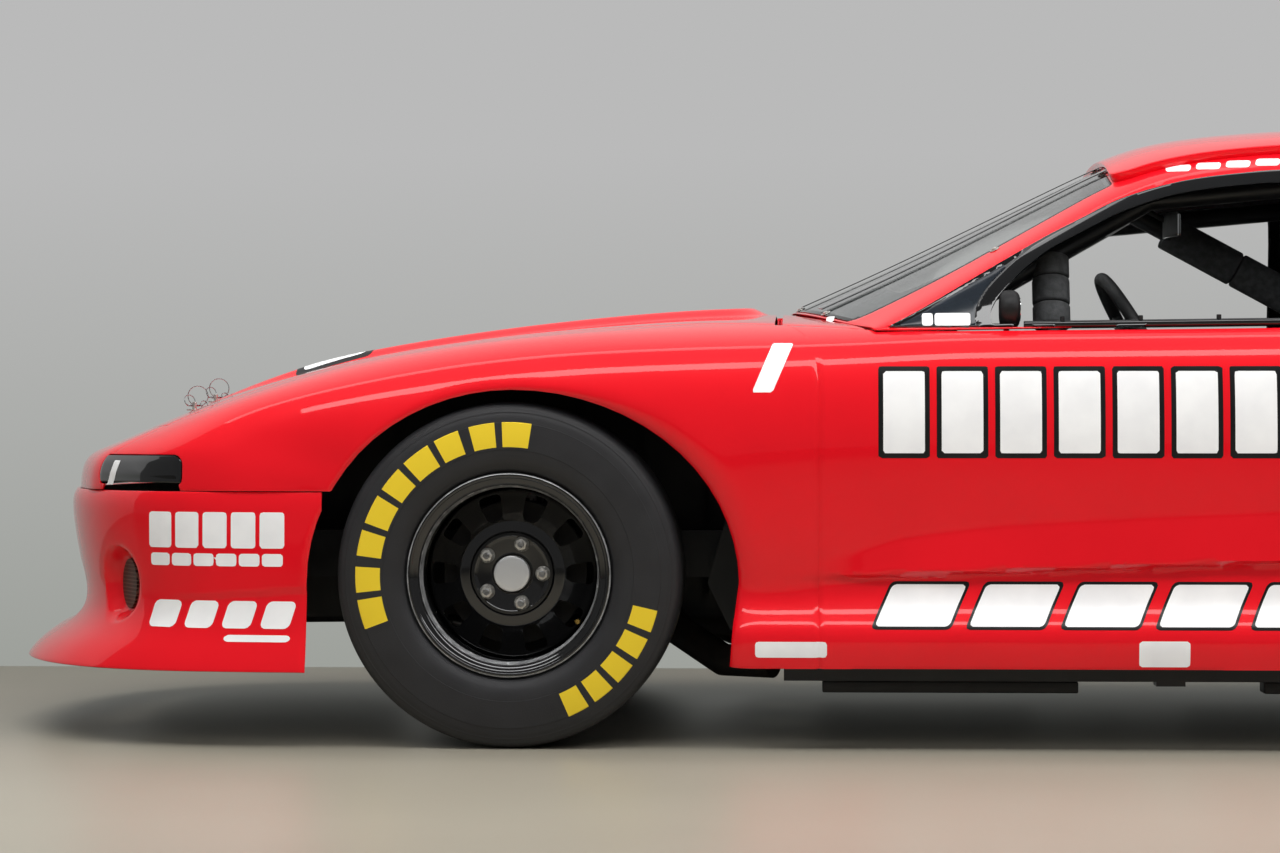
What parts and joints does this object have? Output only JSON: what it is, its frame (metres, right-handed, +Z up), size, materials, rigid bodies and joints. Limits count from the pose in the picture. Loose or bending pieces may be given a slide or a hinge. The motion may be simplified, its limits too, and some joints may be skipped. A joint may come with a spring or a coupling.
{
  "type": "stock car",
  "caption": "Closed-wheel oval-track stock car: a composite coupe body over a tube-and-rail chassis, with steered front wheels and hinged hood and deck lid.",
  "frame": {"origin": "on the floor under the middle of the whole car", "axes": "+X to the tail, +Y to the car's right, +Z up"},
  "size_m": [5.0714, 1.8752, 1.3246],
  "materials": {
    "red_paint": "gloss",
    "clear_glass": "clear",
    "black_gloss": "gloss",
    "tyre_rubber": "matte",
    "black_steel": "gloss",
    "chassis_paint": "satin",
    "bare_steel": "machined",
    "cast_metal": "cast",
    "grey_sheet": "satin",
    "black_plastic": "matte",
    "aluminium_core": "satin",
    "black_pipe": "matte",
    "black_foam": "matte foam",
    "mirror_face": "polished"
  },
  "bodies": {
    "root": {"cowl_panel": "red_paint", "nose_panel": "red_paint", "left_fender": "red_paint", "right_fender": "red_paint", "left_door": "red_paint", "right_door": "red_paint", "left_quarter": "red_paint", "right_quarter": "red_paint", "front_fascia": "red_paint", "tail_panel": "red_paint", "rear_fascia": "red_paint", "roof": "red_paint", "windshield": "clear_glass", "rear_window": "clear_glass", "quarter_windows": "clear_glass", "window_trims": "black_gloss", "headlight_covers": "black_gloss", "chassis_frame": "chassis_paint", "front_control_arms": "chassis_paint", "rear_axle": "chassis_paint", "engine_mounts": "chassis_paint", "roll_cage": "chassis_paint", "dampers_and_springs": "bare_steel", "steering_column": "bare_steel", "drive_shaft": "bare_steel", "engine": "cast_metal", "gearbox": "cast_metal", "floor_pan": "grey_sheet", "firewall": "grey_sheet", "foot_boxes": "grey_sheet", "rear_bulkhead": "grey_sheet", "driver_seat": "grey_sheet", "fuel_cell": "black_plastic", "radiator_duct": "black_plastic", "screens": "black_plastic", "side_skids": "black_plastic", "dashboard": "black_plastic", "radiator": "aluminium_core", "exhaust_pipes": "black_pipe", "cage_padding": "black_foam", "mirrors": "mirror_face"},
    "hood": {"hood": "red_paint"},
    "deck_lid": {"deck_lid": "red_paint", "rear_spoiler": "black_gloss"},
    "left_knuckle": {"left_knuckle": "bare_steel"},
    "right_knuckle": {"right_knuckle": "bare_steel"},
    "tie_rod": {"tie_rod": "bare_steel"},
    "steering_wheel": {"steering_wheel": "black_plastic"},
    "left_front_wheel": {"left_front_tyre": "tyre_rubber", "left_front_wheel": "black_steel"},
    "right_front_wheel": {"right_front_tyre": "tyre_rubber", "right_front_wheel": "black_steel"},
    "left_rear_wheel": {"left_rear_tyre": "tyre_rubber", "left_rear_wheel": "black_steel"},
    "right_rear_wheel": {"right_rear_tyre": "tyre_rubber", "right_rear_wheel": "black_steel"}
  },
  "joints": [
    {"name": "left_steer", "type": "hinge", "parent": "root", "child": "left_knuckle", "pos_m": [-1.412, -0.65, 0.3545], "axis": [0, 0, 1], "range_deg": [-20, 20]},
    {"name": "right_steer", "type": "hinge", "parent": "root", "child": "right_knuckle", "pos_m": [-1.412, 0.65, 0.3545], "axis": [0, 0, 1], "range_deg": [-20, 20]},
    {"name": "tie_rod_slide", "type": "slide", "parent": "root", "child": "tie_rod", "axis": [0, -1, 0], "range_m": [-0.0369, 0.0369]},
    {"name": "steering_wheel_turn", "type": "hinge", "parent": "root", "child": "steering_wheel", "pos_m": [-0.077, -0.38, 0.825], "axis": [0.866, 0, 0.5], "range_deg": [-240.5, 240.5]},
    {"name": "left_front_spin", "type": "hinge", "parent": "left_knuckle", "child": "left_front_wheel", "pos_m": [-1.412, -0.762, 0.3545], "axis": [0, -1, 0], "continuous": true},
    {"name": "right_front_spin", "type": "hinge", "parent": "right_knuckle", "child": "right_front_wheel", "pos_m": [-1.412, 0.762, 0.3545], "axis": [0, -1, 0], "continuous": true},
    {"name": "left_rear_spin", "type": "hinge", "parent": "root", "child": "left_rear_wheel", "pos_m": [1.382, -0.762, 0.3545], "axis": [0, -1, 0], "continuous": true},
    {"name": "right_rear_spin", "type": "hinge", "parent": "root", "child": "right_rear_wheel", "pos_m": [1.382, 0.762, 0.3545], "axis": [0, -1, 0], "continuous": true},
    {"name": "hood_hinge", "type": "hinge", "parent": "root", "child": "hood", "pos_m": [-0.863, 0, 0.908], "axis": [0, 1, 0], "range_deg": [0, 60]},
    {"name": "deck_lid_hinge", "type": "hinge", "parent": "root", "child": "deck_lid", "pos_m": [1.583, 0, 0.984], "axis": [0, -1, 0], "range_deg": [0, 60]}
  ],
  "couplings": [
    {"joint": "right_steer", "follows": "left_steer", "ratio": 1},
    {"joint": "tie_rod_slide", "follows": "left_steer", "m_per_rad": 0.105},
    {"joint": "steering_wheel_turn", "follows": "left_steer", "ratio": 12}
  ]
}
